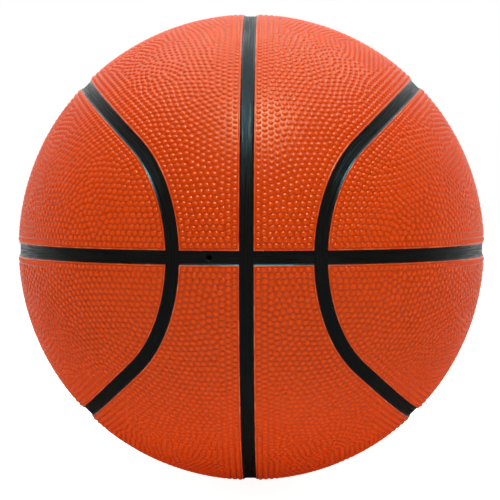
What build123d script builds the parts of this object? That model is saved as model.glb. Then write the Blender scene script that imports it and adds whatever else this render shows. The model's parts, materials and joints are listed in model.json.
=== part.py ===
"""Moulded rubber basketball, size 7, as the pieces it is laid up from.

A butyl bladder with its needle valve is wound with nylon thread, coated with a rubber carcass and
covered with eight pebbled panels. Black channel strips lie between the panels, below their crowns.

The frame's origin is the ball's centre and +Z is up. The straight channels are two great circles:
the equator in the plane Z = 0 and the meridian in the plane X = 0. They cross on the Y axis. Two
closed curved channels ring the X axis, one on each side, and are drawn in towards the meridian where
they cross the equator. The needle valve opens in the equator channel, to the left of the front
crossing, which faces -Y.
"""

from build123d import *
import os
from math import atan2, cos, degrees, radians, sin

# Ball and cover, in millimetres
BALL_DIAMETER = 240.0  # over the crowns of the pebbles
CHANNEL_WIDTH = 6.35
CHANNEL_DEPTH = 1.1  # from the panels' crown down to the channel floor
STRIP_THICKNESS = 0.6  # channel strip, from its floor down to the carcass
RIM_RADIUS = 0.5  # rounding of the panels' edges along the channels

# Layers under the cover, from the outside in
CARCASS_THICKNESS = 0.6
WINDING_THICKNESS = 0.4
BLADDER_THICKNESS = 0.7

# Curved channels: great circles over the crown, bent round where they cross the equator, in degrees
# at the ball's centre along the channel's middle
TIP_ANGLE = 15.9  # from the meridian along the equator, where the two come nearest
CROWN_ANGLE = 45.0  # from the meridian over the top, where they are widest apart
RIGHT_ANGLE = 90.0  # radius of a great circle

# Needle valve, half way between the front crossing and the left curved channel
VALVE_CLEARANCE = 0.1  # between the plug and what it sits in, on the radius
NEEDLE_HOLE_RADIUS = 1.0  # grips a standard inflating needle
NEEDLE_HOLE_LENGTH = 8.0
MOUTH_RADIUS = 1.5  # lead-in that the needle finds
MOUTH_DEPTH = 0.8
NOSE_RADIUS = 2.1  # the end of the plug that shows in the channel
NOSE_RECESS = 0.2  # how far the nose stays below the channel floor
HEAD_RADIUS = 3.8
HEAD_THICKNESS = 2.0
STEM_RADIUS = 2.5
STEM_LENGTH = 6.5
BULB_RADIUS = 3.3  # swelling that holds the plug in its housing
BULB_LENGTH = 3.4
END_RADIUS = 1.8
END_LENGTH = 2.4
SLIT_WIDTH = 2.2  # closed lips that the needle parts, at the plug's inner end
SLIT_GAP = 0.15
HOUSING_WALL = 1.7  # rubber round the plug
HOUSING_ROUND = 1.2  # at the housing's inner end
FLANGE_RADIUS = 16.0  # bonded to the bladder's inner wall
FLANGE_THICKNESS = 1.0

# Radii of the layers' surfaces
BALL_RADIUS = BALL_DIAMETER / 2
FLOOR_RADIUS = BALL_RADIUS - CHANNEL_DEPTH
CARCASS_RADIUS = FLOOR_RADIUS - STRIP_THICKNESS
WINDING_RADIUS = CARCASS_RADIUS - CARCASS_THICKNESS
BLADDER_RADIUS = WINDING_RADIUS - WINDING_THICKNESS
AIR_RADIUS = BLADDER_RADIUS - BLADDER_THICKNESS

# Distances of the plug's steps from the ball's centre
MOUTH = FLOOR_RADIUS - NOSE_RECESS
HEAD_BASE = CARCASS_RADIUS - HEAD_THICKNESS
STEM_BASE = HEAD_BASE - STEM_LENGTH
BULB_BASE = STEM_BASE - BULB_LENGTH
PLUG_END = BULB_BASE - END_LENGTH

HALF_CHANNEL = CHANNEL_WIDTH / 2
NECK_RADIUS = HEAD_RADIUS + VALVE_CLEARANCE + HOUSING_WALL

# Radius of the bend across the equator that touches the great circles above and below it
TIP_BEND_ANGLE = degrees(
    atan2(
        sin(radians(TIP_ANGLE)) * cos(radians(CROWN_ANGLE)),
        1 - cos(radians(TIP_ANGLE)) * cos(radians(CROWN_ANGLE)),
    )
)

VALVE_ANGLE = radians(TIP_ANGLE / 2)
VALVE_PLANE = Plane(
    origin=(0, 0, 0), x_dir=(0, 0, 1), z_dir=(-sin(VALVE_ANGLE), -cos(VALVE_ANGLE), 0)
)


def ball(radius, pole=(1, 0, 0)):
    """A sphere with its poles on a given axis and its seam at the back, under a channel."""
    return Plane(origin=(0, 0, 0), x_dir=(0, 1, 0), z_dir=pole) * Sphere(radius)


def layer(outer, inner, pole=(1, 0, 0)):
    """The shell between two spheres."""
    return ball(outer, pole) - ball(inner, pole)


def half_space(x=0, y=0, z=0, start=0.0):
    """A block that holds all of the ball on one side of a plane square to an axis.

    One of x, y and z is 1 or -1, the way the block lies, and start is the plane's distance."""
    span = 2 * BALL_DIAMETER
    reach = start + span / 2
    return Pos(x * reach, y * reach, z * reach) * Box(span, span, span)


def towards(start, goal, angle):
    """Unit vector that lies some degrees away from one direction, towards another."""
    aside = (goal - start * goal.dot(start)).normalized()
    return start * cos(radians(angle)) + aside * sin(radians(angle))


def bend_centres():
    """Directions of the centres of the right curved channel's front tip and upper flank.

    The tip's circle is centred on the equator and the flank's, a great circle, outside the channel."""
    front = Vector(0, -1, 0)
    right = Vector(1, 0, 0)
    top = Vector(0, 0, 1)
    tip = towards(front, right, TIP_ANGLE + TIP_BEND_ANGLE)
    flank = towards(top, right, CROWN_ANGLE - RIGHT_ANGLE)
    return tip, flank


def bend_wall(centre, start, end):
    """The radial wall of one bend, ruled between its arcs below and above the cover."""
    across = start - centre * start.dot(centre)
    turn = atan2(centre.cross(across).dot(end), across.dot(end))
    middle = start.rotate(Axis((0, 0, 0), centre), degrees(turn) / 2)
    below, above = (
        Edge.make_three_point_arc(start * radius, middle * radius, end * radius)
        for radius in (AIR_RADIUS, BALL_RADIUS + CHANNEL_DEPTH)
    )
    return Face.make_surface_from_curves(below, above)


def curve_wall(shift):
    """The radial wall under one edge of the right curved channel, all the way round.

    The shift is an arc of the ball's surface, positive towards the meridian."""
    tip, flank = bend_centres()
    tip_end = towards(tip, flank, TIP_BEND_ANGLE + degrees(shift / BALL_RADIUS))
    tip_wall = bend_wall(tip, Vector(tip_end.X, tip_end.Y, -tip_end.Z), tip_end)
    flank_wall = bend_wall(flank, tip_end, Vector(tip_end.X, -tip_end.Y, tip_end.Z))
    return Shell([tip_wall, tip_wall.mirror(Plane.XZ), flank_wall, flank_wall.mirror(Plane.XY)])


def cut_off(solid, wall, point):
    """The piece of a solid, cut by a wall, whose middle lies nearest to a point."""
    pieces = solid.split(wall, keep=Keep.ALL)
    return min(pieces, key=lambda piece: (piece.center() - Vector(point)).length)


def rounded_rim(panel):
    """Rounds a panel's edge along the channels: the edges of its outer face."""
    outer = panel.faces().sort_by(lambda face: face.center().length)[-1]
    return panel.fillet(RIM_RADIUS, outer.edges())


def panels():
    """The eight pebbled panels: in each quarter one beside the meridian and one on the ball's side."""
    quarter = (
        layer(BALL_RADIUS, CARCASS_RADIUS)
        & half_space(x=1, start=HALF_CHANNEL)
        & half_space(z=1, start=HALF_CHANNEL)
    ).solid()
    kinds = {
        "side_panel": cut_off(quarter, curve_wall(-HALF_CHANNEL), (BALL_RADIUS, 0, 0)),
        "centre_panel": cut_off(quarter, curve_wall(HALF_CHANNEL), (0, 0, BALL_RADIUS)),
    }
    made = {}
    for kind, panel in kinds.items():
        upper_right = rounded_rim(panel)
        upper_left = mirror(upper_right, about=Plane.YZ)
        made[f"{kind}_upper_right"] = upper_right
        made[f"{kind}_upper_left"] = upper_left
        made[f"{kind}_lower_right"] = mirror(upper_right, about=Plane.XY)
        made[f"{kind}_lower_left"] = mirror(upper_left, about=Plane.XY)
    return made


def channels():
    """The black strips: a whole meridian, a whole curve on each side and the equator's six lengths."""
    floor = layer(FLOOR_RADIUS, CARCASS_RADIUS)
    meridian = (
        floor
        & half_space(x=1, start=-HALF_CHANNEL)
        & half_space(x=-1, start=-HALF_CHANNEL)
    )
    inner_wall = curve_wall(-HALF_CHANNEL)
    outer_wall = curve_wall(HALF_CHANNEL)
    right_pole = (BALL_RADIUS, 0, 0)
    front_pole = (0, -BALL_RADIUS, 0)
    beside = (floor & half_space(x=1, start=HALF_CHANNEL)).solid()
    within = cut_off(beside, outer_wall, right_pole)
    equator = (
        layer(FLOOR_RADIUS, CARCASS_RADIUS, pole=(0, 0, 1))
        & half_space(z=1, start=-HALF_CHANNEL)
        & half_space(z=-1, start=-HALF_CHANNEL)
        & half_space(x=1, start=HALF_CHANNEL)
    ).solid()
    front = cut_off(equator, outer_wall, front_pole)
    right_strips = {
        "curved_channel": cut_off(within, inner_wall, (0, 0, 0)),
        "equator_channel": cut_off(equator, inner_wall, right_pole),
        "equator_channel_front": front,
        "equator_channel_back": mirror(front, about=Plane.XZ),
    }
    made = {"meridian_channel": meridian}
    for name, strip in right_strips.items():
        made[f"{name}_right"] = strip
        made[f"{name}_left"] = mirror(strip, about=Plane.YZ)
    made["equator_channel_front_left"] -= valve_hole(NOSE_RADIUS + VALVE_CLEARANCE)
    return made


def valve_hole(radius):
    """A round hole along the valve's axis, from the ball's centre out through the cover."""
    return VALVE_PLANE * Cylinder(
        radius, BALL_DIAMETER, align=(Align.CENTER, Align.CENTER, Align.MIN)
    )


def turned(profile):
    """A solid turned about the valve's axis from (radius, distance from the ball's centre) points."""
    outline = Plane.XZ * make_face(Polyline(*profile, close=True))
    return VALVE_PLANE * revolve(outline, axis=Axis.Z)


def plug_profile(room, top):
    """The plug's stepped outline, enlarged by some room on the radius."""
    return [
        (0, PLUG_END),
        (END_RADIUS + room, PLUG_END),
        (END_RADIUS + room, BULB_BASE),
        (BULB_RADIUS + room, STEM_BASE - BULB_LENGTH / 2),
        (BULB_RADIUS + room, STEM_BASE),
        (STEM_RADIUS + room, STEM_BASE),
        (STEM_RADIUS + room, HEAD_BASE),
        (HEAD_RADIUS + room, HEAD_BASE),
        (HEAD_RADIUS + room, top),
        (0, top),
    ]


def valve_plug():
    """The rubber plug: a nose in the channel, a head under the strip, a stem and a holding bulb."""
    hole_base = MOUTH - MOUTH_DEPTH - NEEDLE_HOLE_LENGTH
    body = turned(plug_profile(0, BALL_RADIUS)) & ball(CARCASS_RADIUS)
    nose = turned(
        [(0, HEAD_BASE), (NOSE_RADIUS, HEAD_BASE), (NOSE_RADIUS, MOUTH), (0, MOUTH)]
    )
    needle_hole = turned(
        [
            (0, hole_base),
            (NEEDLE_HOLE_RADIUS, hole_base),
            (NEEDLE_HOLE_RADIUS, MOUTH - MOUTH_DEPTH),
            (MOUTH_RADIUS, MOUTH),
            (0, MOUTH),
        ]
    )
    slit_length = hole_base - PLUG_END
    slit = VALVE_PLANE * Pos(0, 0, PLUG_END) * Box(
        SLIT_WIDTH, SLIT_GAP, slit_length, align=(Align.CENTER, Align.CENTER, Align.MIN)
    )
    return body + nose - needle_hole - slit


def valve_housing():
    """The rubber turret bonded inside the bladder, with a seat of the plug's shape."""
    boss = turned(
        [
            (0, PLUG_END),
            (NECK_RADIUS, PLUG_END),
            (NECK_RADIUS, BALL_RADIUS),
            (0, BALL_RADIUS),
        ]
    )
    flange = layer(AIR_RADIUS, AIR_RADIUS - FLANGE_THICKNESS) & valve_hole(FLANGE_RADIUS)
    inner_end = boss.edges().filter_by(GeomType.CIRCLE).sort_by(lambda e: e.center().length)[0]
    turret = boss.fillet(HOUSING_ROUND, [inner_end]) & ball(CARCASS_RADIUS)
    seat = turned(plug_profile(VALVE_CLEARANCE, BALL_RADIUS))
    return turret + flange - seat


def inner_layers():
    """Carcass, winding and bladder: closed shells, open only where the valve's neck comes through."""
    neck_hole = valve_hole(NECK_RADIUS + VALVE_CLEARANCE)
    return {
        "carcass": layer(CARCASS_RADIUS, WINDING_RADIUS) - neck_hole,
        "thread_winding": layer(WINDING_RADIUS, BLADDER_RADIUS) - neck_hole,
        "bladder": layer(BLADDER_RADIUS, AIR_RADIUS) - neck_hole,
    }


def main():
    os.makedirs("parts", exist_ok=True)
    nodes = {
        **panels(),
        **channels(),
        **inner_layers(),
        "valve_housing": valve_housing(),
        "valve_plug": valve_plug(),
    }
    for name, piece in nodes.items():
        export_step(piece, f"parts/{name}.step")


main()
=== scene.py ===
"""Dresses a packed basketball in its finished looks and sets it on a plain studio floor.

The eight panels get moulded pebbles, a smooth lip and a rounded rim with painted walls. The channel
strips get a section with drawn-up edges and a satin coat. The valve and the inner layers keep their
solid shapes and get rubber and thread finishes. Sizes are in metres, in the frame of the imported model:
the ball's centre is the origin, +Z is up and the front crossing of the straight channels faces -Y.
"""

import json
import math

import bmesh
import bpy
import numpy as np
from bpy.props import FloatProperty, FloatVectorProperty, PointerProperty
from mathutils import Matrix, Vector
from mathutils.geometry import delaunay_2d_cdt


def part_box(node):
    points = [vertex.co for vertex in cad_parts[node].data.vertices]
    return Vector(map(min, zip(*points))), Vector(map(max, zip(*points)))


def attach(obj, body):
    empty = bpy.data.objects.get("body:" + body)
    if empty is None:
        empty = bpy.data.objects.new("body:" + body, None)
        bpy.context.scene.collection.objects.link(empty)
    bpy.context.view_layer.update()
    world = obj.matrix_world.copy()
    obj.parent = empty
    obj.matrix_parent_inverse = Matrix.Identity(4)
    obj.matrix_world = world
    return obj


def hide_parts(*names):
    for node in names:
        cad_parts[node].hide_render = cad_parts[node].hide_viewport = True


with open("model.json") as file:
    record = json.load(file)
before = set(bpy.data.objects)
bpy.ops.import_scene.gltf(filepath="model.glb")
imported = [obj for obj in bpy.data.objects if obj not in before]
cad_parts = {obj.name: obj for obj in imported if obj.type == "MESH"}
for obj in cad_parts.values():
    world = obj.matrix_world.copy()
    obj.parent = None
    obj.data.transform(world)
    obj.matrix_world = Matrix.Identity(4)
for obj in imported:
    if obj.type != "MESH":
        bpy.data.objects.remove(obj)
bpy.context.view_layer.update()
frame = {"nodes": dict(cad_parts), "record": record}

bl_info = {
    "name": "Pebbled Basketball",
    "version": (1, 0, 0),
    "blender": (4, 5, 0),
    "location": "3D View > Sidebar > Basketball",
    "description": "Pebbled panels, coated channels, valve and inner layers of a rubber basketball",
    "category": "Object",
}

NODES = frame["nodes"]
MM = 0.001
FRONT = np.array([0.0, -1.0, 0.0])
RIGHT = np.array([1.0, 0.0, 0.0])
TOP = np.array([0.0, 0.0, 1.0])
BACKWARDS = np.array([1.0, -1.0, 1.0])
DOWNWARDS = np.array([1.0, 1.0, -1.0])
SIDES = {"right": 1.0, "left": -1.0}
LEVELS = {"upper": 1.0, "lower": -1.0}


def outer_radius(name):
    """Largest distance of a node's points from the ball's centre."""
    return max(vertex.co.length for vertex in NODES[name].data.vertices)


BALL_RADIUS = outer_radius("side_panel_upper_right")
FLOOR_RADIUS = outer_radius("meridian_channel")
CARCASS_RADIUS = outer_radius("carcass")
CHANNEL_WIDTH = 2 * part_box("meridian_channel")[1].x
VALVE_AXIS = next(mount["axis"] for mount in frame["record"]["mounts"] if mount["name"] == "needle_hole")

# Rim of a panel, from the lip outwards: distance in from the channel and depth below the crowns
RIM_SECTION = (
    (0.78 * MM, 0.56 * MM),
    (0.56 * MM, 0.43 * MM),
    (0.36 * MM, 0.38 * MM),
    (0.20 * MM, 0.40 * MM),
    (0.09 * MM, 0.48 * MM),
    (0.03 * MM, 0.60 * MM),
    (0.00 * MM, 0.80 * MM),
)
HIGHLIGHT_RIM_FROM = 1  # the step of the rim section at which the rim with its painted highlight starts
PAINTED_FROM = 5  # the step at which the wall's paint starts
POST_GAP = 1.4 * MM  # between the posts along a panel's lip
UNDERSIDE_PLAY = 0.02 * MM  # kept between the cover and the carcass
COVER, WALL, RIM = 0, 1, 2  # numbers of a panel's materials
PANEL_CREASE = math.radians(50)  # from this bend on, an edge of a panel is shaded as sharp

# Half of a channel strip's section: distance from its edge and height above the channel floor
STRIP_SECTION = (
    (0.00 * MM, 0.50 * MM),
    (0.20 * MM, 0.34 * MM),
    (0.45 * MM, 0.18 * MM),
    (0.75 * MM, 0.07 * MM),
    (1.15 * MM, 0.02 * MM),
    (1.70 * MM, 0.0 * MM),
)
EDGE_STEPS = 3  # steps of the strip section that are the glossy edge
STRIP_PLAY = 0.01 * MM  # kept between a strip and the panels beside it
FLOOR_DROP = 0.01 * MM  # how far a strip's floor lies below that of its solid
EDGE_RUN_OUT = 0.7 * MM  # length over which a strip's edges sink to the floor at a crossing
STRIP_CREASE = math.radians(40)  # from this bend on, an edge of a strip is shaded as sharp
MERIDIAN_STEPS = 640
EQUATOR_STEPS = {"side": 200, "front": 28, "back": 28}
CURVE_STEP = 1.2 * MM
CURVE_LEAST = 8  # steps on a short arc
ARC_SAMPLES = 64  # points on which an arc's length is measured
DRILL_SIDES = 64
DRILL_LENGTH = 20 * MM

# Rows of pebbles
CHANNEL_ROWS = 9  # rows that are set out along a channel
EQUATOR_ROWS = 3.4 * MM  # width beside the equator in which the rows follow it
EQUATOR_YIELD = 60  # how fast they turn to the other channels past that width

# Settling of the pebbles, with distances as shares of their pitch
ROW_APART = 0.80  # least distance between the pebbles of the rows
FILL_APART = 0.86  # least distance of those that fill the panel's middle
HOLE_APART = 0.84  # least distance of those that fill the holes left after settling
SPARE_GAP = 0.3  # between the places that are tried for a filling pebble
ROW_TOLERANCE = 0.01  # how far off its line a place still belongs to a row
SETTLE_STEPS = 120
LOOK_STEPS = 8  # steps between two looks at who is near whom
LOOK_REACH = 1.5  # how far a look reaches
PUSH_REACH = 1.16  # pebbles nearer than this push each other
PUSH = 0.30  # strength of that push
HOME_PULL = 0.35  # how strongly the first row is drawn to its line
HOME_ROWS = 1.2  # rows over which that pull fades
HEAT = 0.07  # length of the random moves at the start
HEAT_TIME = 0.6  # share of the steps in which they die down

# Shape of the pebbles, with depths as shares of their relief
CROWN_SPREAD = 0.12  # by how much the crowns differ
INNER_RING = 0.60  # radius of a dome's inner ring, as a share of its girth
INNER_DEPTH = 0.26  # of that ring below the crown
FOOT_DEPTH = 0.92  # of a dome's foot below the crown
FOOT_LIMIT = 0.97  # deepest place of a foot, as a share of the valley's depth
FOOT_REACH = (0.84, 0.8, 0.2, 0.87)  # towards a neighbour: see dome_reach
SPOKE_REACH = (0.86, 0.85, 0.15, 0.88)  # towards the middle between three
VALLEY_DEPTH = 0.96  # between two crowns one pitch apart
VALLEY_GAIN = 0.8  # added for each pitch that they are farther apart
VALLEY_LEAST = 0.7
LIP_VALLEY = 0.80  # place of the valley on the way from a crown to the lip

# Flat map of a panel, and its UV map: the outside fills most of the square, the underside a small corner
MAP_UP = TOP + 0.3 * FRONT  # a way up that no panel's middle lies on
INSIDE_ONLY = 1  # the triangulation's number for leaving out what lies outside
SAME_PLACE = 1e-9  # points of the flat map nearer than this are one
OUTSIDE_SPAN = 0.97
UNDERSIDE_START = 0.975
UNDERSIDE_SPAN = 0.024

# Finishes
NOISE_ROUGHNESS = 0.55  # how strongly the finer detail of noise shows
WHITE = (1.0, 1.0, 1.0, 1.0)
WARM = (1.0, 0.82, 0.50, 1.0)  # tint of the reflections on the cover
BLUISH = (0.42, 0.85, 1.0, 1.0)  # tint of the reflections on the black coat
CYAN = (0.10, 0.75, 1.0, 1.0)  # tint of the reflections along its edges
COVER_GLOSS = 0.58  # specular level of the cover
COAT_GLOSS = 0.25  # specular level of the black coat
SKIN_GRAIN = 0.35 * MM  # size of the grain of the cover's skin
SKIN_RELIEF = 0.006 * MM
COURSE_STRETCH = (0.03, 1.0, 1.0)  # draws the marks on the coat out along a channel
THREAD_SPACING = 0.8 * MM
THREAD_AXES = ((0.2, 0.1, 0.97), (0.95, 0.2, -0.25), (0.45, -0.85, 0.3))

# Studio: places are distance from the ball's centre, azimuth and elevation, and sizes width and height
KEY_PLACE = (1.2, math.radians(6), math.radians(61))
KEY_SIZE = (0.42, 0.36)
TOP_PLACE = (1.0, 0.0, math.radians(98))
TOP_SIZE = (1.3, 1.1)
SIDE_PLACE = (1.2, math.radians(102), math.radians(10))
SIDE_SIZE = (0.3, 0.9)
FLOOR_HALF_WIDTH = 6.0
FLOOR_PAINT = (0.88, 0.88, 0.88, 1.0)
DULL_PAINT = (0.08, 0.08, 0.08, 1.0)  # the floor as reflections see it
BEHIND_LIGHT = 0.8  # brightness of the room and floor behind the ball, in reflections
BACK = (0, 1, 0)  # away from the camera
SENSOR_WIDTH = 36.0  # millimetres
CAMERA_SHIFT = (-0.0027, -0.0057)


def length_setting(name, description, default):
    return FloatProperty(name=name, description=description, default=default, unit="LENGTH")


def angle_setting(name, description, degrees):
    return FloatProperty(
        name=name, description=description, default=math.radians(degrees), subtype="ANGLE"
    )


def power_setting(name, description, watts):
    return FloatProperty(name=name, description=description, default=watts, unit="POWER")


def color_setting(name, description, default):
    return FloatVectorProperty(name=name, description=description, default=default, subtype="COLOR")


class CoverSettings(bpy.types.PropertyGroup):
    """Pebbles and colours of the panels."""

    pitch: length_setting("Pebble Pitch", "Distance between the crowns of two pebbles in a row", 2.72 * MM)
    row_gap: length_setting("Row Gap", "Distance between two rows of pebbles", 2.90 * MM)
    relief: length_setting("Pebble Relief", "Depth of the valleys below the crowns", 0.54 * MM)
    first_row: length_setting("First Row", "From the channel to the first row of crowns", 1.98 * MM)
    crown_color: color_setting("Crown Colour", "Rubber on the pebbles' crowns", (0.90, 0.079, 0.0026))
    # The valley colour is painted shade that darkens the valleys between the pebbles; it also gives the
    # colour of the random mottle.
    shade_and_mottle_color: color_setting("Valley Colour", "Darker rubber painted into the valleys as shade, also used for the mottle", (0.64, 0.046, 0.0012))
    # The rim colour is a painted highlight along the rims beside the channels.
    rim_color: color_setting("Rim Colour", "Paler rubber painted on the rims along the channels as a highlight", (1.0, 0.18, 0.052))


class ChannelSettings(bpy.types.PropertyGroup):
    """Course and coat of the channels."""

    width: length_setting("Channel Width", "From panel to panel", CHANNEL_WIDTH)
    tip_angle: angle_setting("Tip Angle", "From the meridian to the curve, along the equator", 15.9)
    crown_angle: angle_setting("Crown Angle", "From the meridian to the curve, over the top", 45.0)
    valve_hole: length_setting("Valve Hole", "Radius of the hole round the valve's nose", 2.2 * MM)
    coat_color: color_setting("Coat Colour", "Black coat of the channels", (0.0095, 0.0078, 0.0060))


class LayerSettings(bpy.types.PropertyGroup):
    """Colours of the valve and of the layers under the cover."""

    valve_color: color_setting("Valve Colour", "Rubber of the plug and its housing", (0.006, 0.006, 0.0065))
    carcass_color: color_setting("Carcass Colour", "Rubber coat under the cover", (0.05, 0.048, 0.045))
    thread_color: color_setting("Thread Colour", "Nylon thread of the winding", (0.62, 0.58, 0.48))
    bladder_color: color_setting("Bladder Colour", "Butyl rubber of the bladder", (0.02, 0.02, 0.021))


class StudioSettings(bpy.types.PropertyGroup):
    """Camera, lamps and floor."""

    distance: length_setting("Camera Distance", "From the ball's centre", 0.72)
    azimuth: angle_setting("Camera Azimuth", "From straight in front towards the right", 1.06)
    elevation: angle_setting("Camera Elevation", "Above the ball's centre", 2.32)
    lens: FloatProperty(
        name="Focal Length",
        description="On a sensor 36 mm wide",
        default=99.24,
        unit="CAMERA",
    )
    top_power: power_setting("Top Lamp", "Wide softbox over the ball", 6.8)
    key_power: power_setting("Key Lamp", "Compact softbox in front, above the ball", 8.4)
    side_power: power_setting("Side Lamps", "Tall softboxes to the left and right, beside the ball", 4.6)
    ambient: FloatProperty(
        name="Ambient Light",
        description="Even light from the room",
        default=0.01,
        min=0.0,
    )


class Value:
    """A node's output that takes part in arithmetic; each operation adds a Math node."""

    def __init__(self, graph, socket):
        self.graph = graph
        self.socket = socket

    def __add__(self, other):
        return self.graph.math("ADD", self, other)

    def __radd__(self, other):
        return self.graph.math("ADD", other, self)

    def __sub__(self, other):
        return self.graph.math("SUBTRACT", self, other)

    def __rsub__(self, other):
        return self.graph.math("SUBTRACT", other, self)

    def __mul__(self, other):
        return self.graph.math("MULTIPLY", self, other)

    def __rmul__(self, other):
        return self.graph.math("MULTIPLY", other, self)

    def __truediv__(self, other):
        return self.graph.math("DIVIDE", self, other)


class Graph:
    """Adds nodes to an emptied shader tree."""

    def __init__(self, tree):
        self.tree = tree
        tree.nodes.clear()

    def node(self, kind, settings, sockets, output=0):
        """Makes one node: its settings first, then its sockets' values or links. Gives one output."""
        made = self.tree.nodes.new(kind)
        for name, setting in settings.items():
            setattr(made, name, setting)
        for name, value in sockets.items():
            socket = self.pick(made.inputs, name)
            if isinstance(value, Value):
                self.tree.links.new(value.socket, socket)
            else:
                socket.default_value = value
        if not made.outputs:
            return None
        return Value(self, self.pick(made.outputs, output))

    def pick(self, sockets, name):
        """A socket by its number, or the one in use among those of a name."""
        if isinstance(name, int):
            return sockets[name]
        return next(socket for socket in sockets if socket.name == name and socket.enabled)

    def math(self, operation, *operands):
        return self.node("ShaderNodeMath", {"operation": operation}, dict(enumerate(operands)))

    def vector_math(self, operation, output, *operands):
        settings = {"operation": operation}
        return self.node("ShaderNodeVectorMath", settings, dict(enumerate(operands)), output)

    def mix(self, share, first, second):
        """Blends two colours."""
        return self.node(
            "ShaderNodeMix",
            {"data_type": "RGBA"},
            {"Factor": share, "A": first, "B": second},
            "Result",
        )

    def ease(self, value, low, high):
        """Rises smoothly from 0 to 1 between two levels of a value."""
        return self.node(
            "ShaderNodeMapRange",
            {"interpolation_type": "SMOOTHSTEP"},
            {"Value": value, "From Min": low, "From Max": high},
            "Result",
        )

    def place(self):
        """The surface point in the ball's frame."""
        return self.node("ShaderNodeTexCoord", {}, {}, "Object")

    def length(self, vector):
        return self.vector_math("LENGTH", "Value", vector)

    def dot(self, vector, axis):
        return self.vector_math("DOT_PRODUCT", "Value", vector, axis)

    def noise(self, vector, size, detail):
        """Cloudy noise whose blotches are about a given size across."""
        return self.node(
            "ShaderNodeTexNoise",
            {"noise_dimensions": "3D"},
            {"Vector": vector, "Scale": 1 / size, "Detail": detail, "Roughness": NOISE_ROUGHNESS},
            "Fac",
        )

    def bump(self, height, distance):
        return self.node("ShaderNodeBump", {}, {"Height": height, "Distance": distance}, "Normal")

    def surface(self, shader):
        self.node("ShaderNodeOutputMaterial", {}, {"Surface": shader})

    def glow(self, strength):
        """White light of some strength from a surface."""
        return self.node("ShaderNodeEmission", {}, {"Color": WHITE, "Strength": strength}, "Emission")

    def paint(self, color):
        return self.node("ShaderNodeBsdfDiffuse", {}, {"Color": color}, "BSDF")

    def both(self, first, second):
        """Two shaders added up."""
        return self.node("ShaderNodeAddShader", {}, {0: first, 1: second}, "Shader")

    def rubber(self, color, roughness, normal, specular, tint=WHITE):
        """The rubber shader on the material's output."""
        self.surface(
            self.node(
                "ShaderNodeBsdfPrincipled",
                {},
                {
                    "Base Color": color,
                    "Roughness": roughness,
                    "Normal": normal,
                    "Specular IOR Level": specular,
                    "Specular Tint": tint,
                },
                "BSDF",
            )
        )


def opaque(color, gain=1.0, lift=0.0):
    """A colour property as a socket's four numbers, made brighter or darker where that is asked."""
    return (*(gain * part + lift for part in color), 1.0)


def finish(name, build, *settings):
    """The material of that name, built on first use."""
    material = bpy.data.materials.get(name)
    if material is None:
        material = bpy.data.materials.new(name)
        material.use_nodes = True
        build(Graph(material.node_tree), *settings)
    return material


def crown_share(graph, place, cover):
    """0 in the valleys and 1 on the crowns: the mask of the painted valley shade and of the rougher
    valleys.
    """
    height = (graph.length(place) - (BALL_RADIUS - cover.relief)) / cover.relief
    return graph.ease(height, 0.0, 0.6)


def cover_color(graph, place, cover):
    """Orange rubber: lighter on the crowns and darker in the valleys as painted shade, slightly cloudy all
    over.
    """
    crown = crown_share(graph, place, cover)
    clouds = graph.noise(place, 45 * MM, 3.0)
    mottle = graph.noise(place, 4 * MM, 2.0)
    # Painted shade: the rubber darkens from the crowns down into the valleys between the pebbles.
    rubber = graph.mix(crown, opaque(cover.shade_and_mottle_color), opaque(cover.crown_color))
    faded = opaque(cover.crown_color, 0.98, 0.001)
    rubber = graph.mix(0.35 * graph.ease(clouds, 0.35, 0.75), rubber, faded)
    return graph.mix(0.30 * graph.ease(mottle, 0.45, 0.8), rubber, opaque(cover.shade_and_mottle_color))


def pebbled_cover(graph, cover):
    """The panels' moulded rubber, satin with a fine skin texture."""
    place = graph.place()
    skin = graph.noise(place, SKIN_GRAIN, 3.0)
    sheen = graph.noise(place, 9 * MM, 2.0)
    graph.rubber(
        color=cover_color(graph, place, cover),
        roughness=0.26 - 0.10 * crown_share(graph, place, cover) + 0.08 * sheen + 0.04 * skin,
        normal=graph.bump(skin, SKIN_RELIEF),
        specular=COVER_GLOSS,
        tint=WARM,
    )


def rim_highlight_finish(graph, cover):
    """The rims along the channels, worn smoother than the ground, and paler in patches as a painted
    highlight.
    """
    place = graph.place()
    highlight_patches = graph.ease(graph.noise(place, 6 * MM, 4.0), 0.45, 0.65)
    skin = graph.noise(place, SKIN_GRAIN, 3.0)
    graph.rubber(
        # Painted highlight: patches of the rim take the paler rim colour, standing in for light caught
        # along the rims.
        color=graph.mix(0.05 + 0.75 * highlight_patches, cover_color(graph, place, cover), opaque(cover.rim_color)),
        roughness=0.24 + 0.10 * skin,
        normal=graph.bump(skin, SKIN_RELIEF),
        specular=COVER_GLOSS,
        tint=WARM,
    )


def painted_wall(graph, cover, channel):
    """Black paint on the walls of the panels, worn off in places along its upper edge."""
    place = graph.place()
    depth = BALL_RADIUS - graph.length(place)
    ragged = depth + 0.10 * MM * graph.noise(place, 1.2 * MM, 3.0)
    paint = graph.ease(ragged, 0.70 * MM, 0.77 * MM)
    skin = graph.noise(place, 0.4 * MM, 3.0)
    graph.rubber(
        color=graph.mix(paint, cover_color(graph, place, cover), opaque(channel.coat_color)),
        roughness=0.36 + 0.12 * skin,
        normal=graph.bump(skin, 0.02 * MM),
        specular=COAT_GLOSS,
        tint=BLUISH,
    )


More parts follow.
